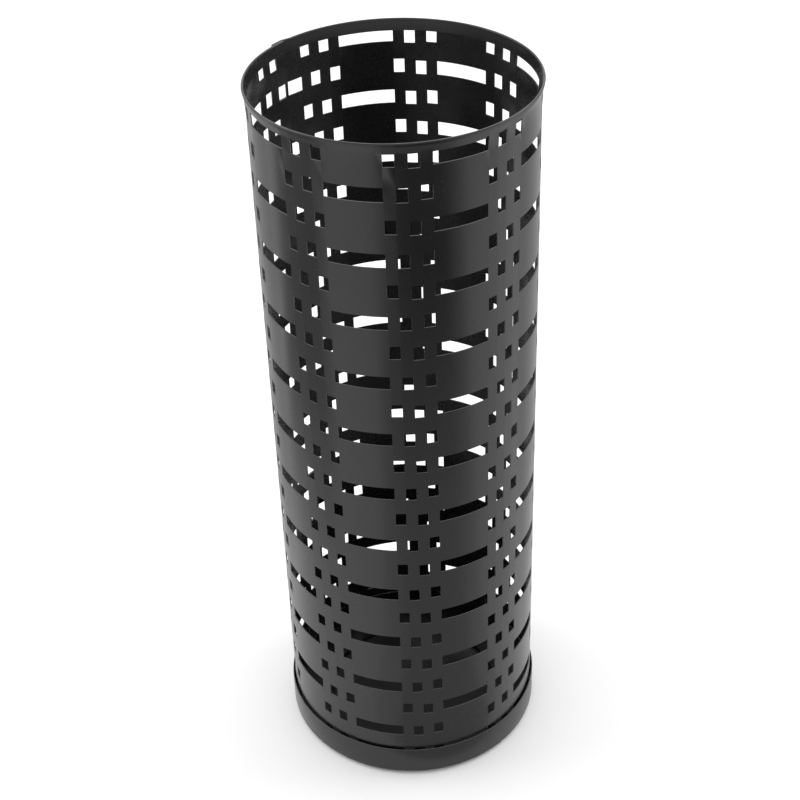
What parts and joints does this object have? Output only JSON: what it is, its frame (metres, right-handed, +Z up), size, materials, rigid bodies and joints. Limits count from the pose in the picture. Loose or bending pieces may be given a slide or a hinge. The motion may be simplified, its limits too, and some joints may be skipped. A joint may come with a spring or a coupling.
{
  "type": "umbrella stand",
  "caption": "Tall open tube of black perforated sheet steel with a rolled rim, standing loose in a shallow pressed drip pan.",
  "frame": {"origin": "on the floor, at the middle of the stand", "axes": "+Z up along the tube; -Y is the front, with the lap seam at the back left"},
  "size_m": [0.1802, 0.1802, 0.5],
  "materials": {
    "black_powder_coat": "satin",
    "pan_powder_coat": "satin",
    "pad_rubber": "matte"
  },
  "bodies": {
    "base": {"drip_pan": "pan_powder_coat", "foot_pad_1": "pad_rubber", "foot_pad_2": "pad_rubber", "foot_pad_3": "pad_rubber", "foot_pad_4": "pad_rubber"},
    "tube": {"perforated_tube": "black_powder_coat"}
  },
  "joints": [
    {"name": "tube_lift", "type": "slide", "parent": "base", "child": "tube", "axis": [0, 0, 1], "range_m": [0, 0.05]}
  ]
}
